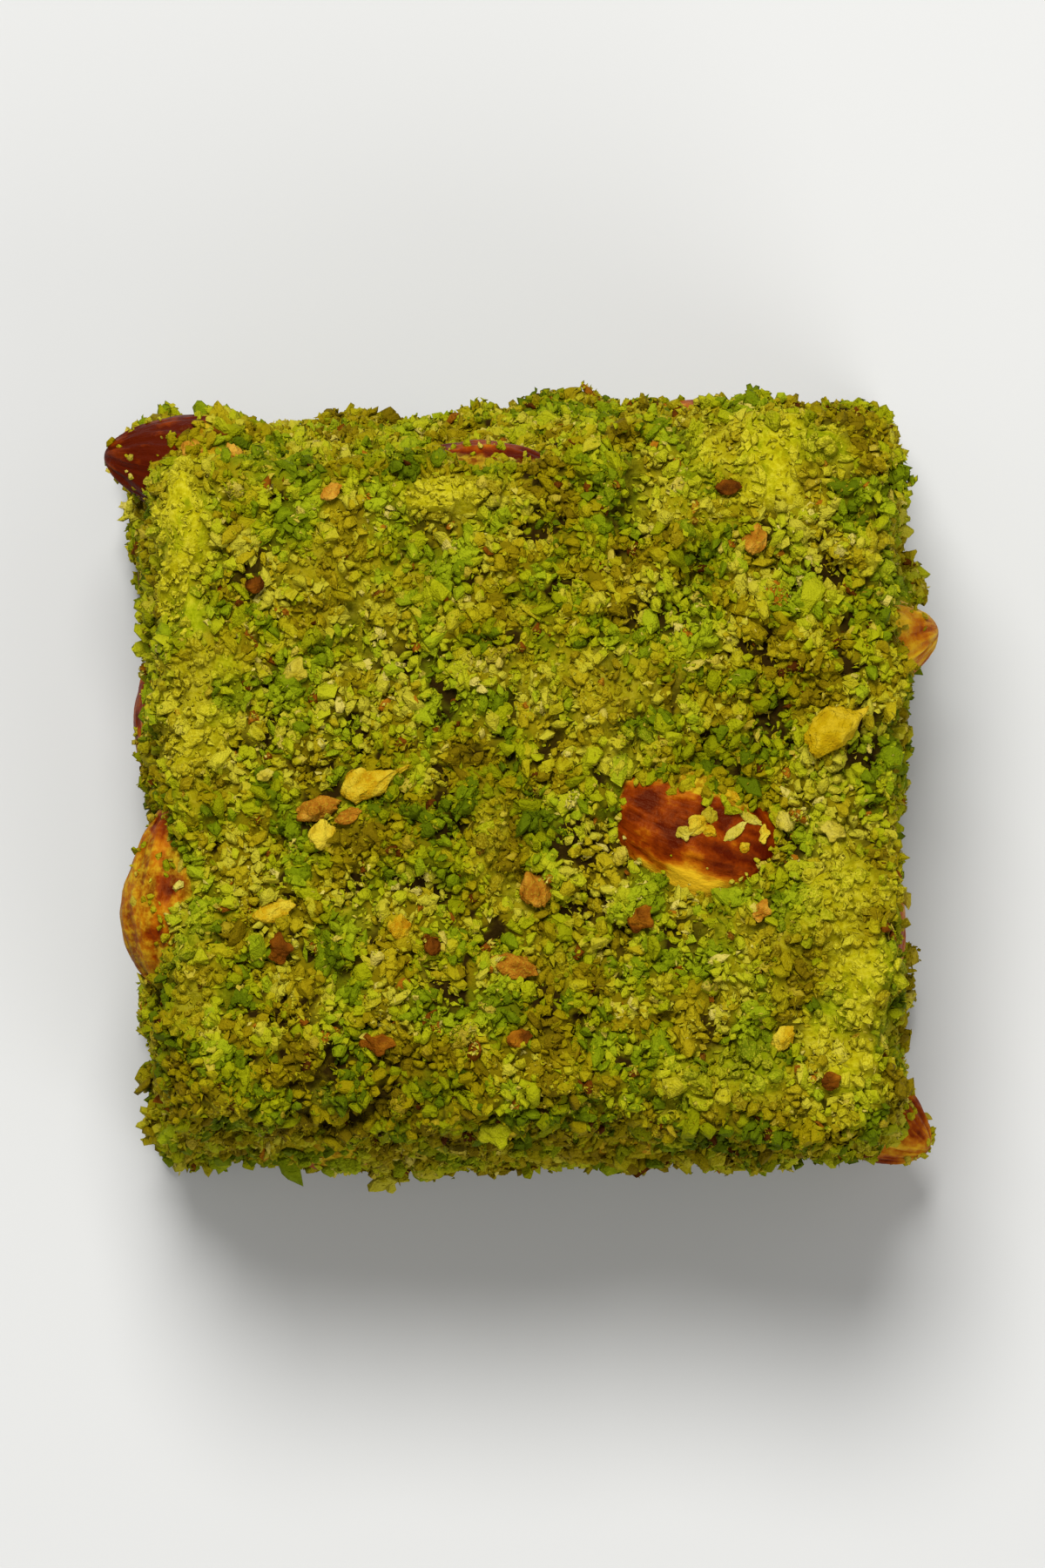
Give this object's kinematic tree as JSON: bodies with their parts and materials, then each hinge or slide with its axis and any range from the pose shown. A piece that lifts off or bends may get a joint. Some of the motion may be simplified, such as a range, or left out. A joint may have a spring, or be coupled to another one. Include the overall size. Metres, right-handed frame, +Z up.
{
  "type": "pistachio coated turkish delight piece",
  "caption": "Soft square block of nut-filled jelly sweet, rolled in coarse ground pistachio, with whole kernels showing at its top and sides.",
  "frame": {"origin": "middle of the base, on the surface the sweet rests on", "axes": "+Z up through the top face, +Y towards the back edge, +X towards the right edge as seen from the front"},
  "size_m": [0.0432, 0.0416, 0.0251],
  "materials": {
    "coating": "matte coarse ground pistachio over soft amber jelly",
    "kernel": "satin wrinkled pistachio skin"
  },
  "bodies": {
    "root": {"coated_block": "coating", "kernel_top": "kernel", "kernel_left_front": "kernel", "kernel_left_back": "kernel", "kernel_left_low": "kernel", "kernel_back_high": "kernel", "kernel_back_low": "kernel", "kernel_right_back": "kernel", "kernel_right_front": "kernel", "kernel_right_corner": "kernel", "kernel_front_right": "kernel", "kernel_front_left": "kernel"}
  },
  "joints": []
}
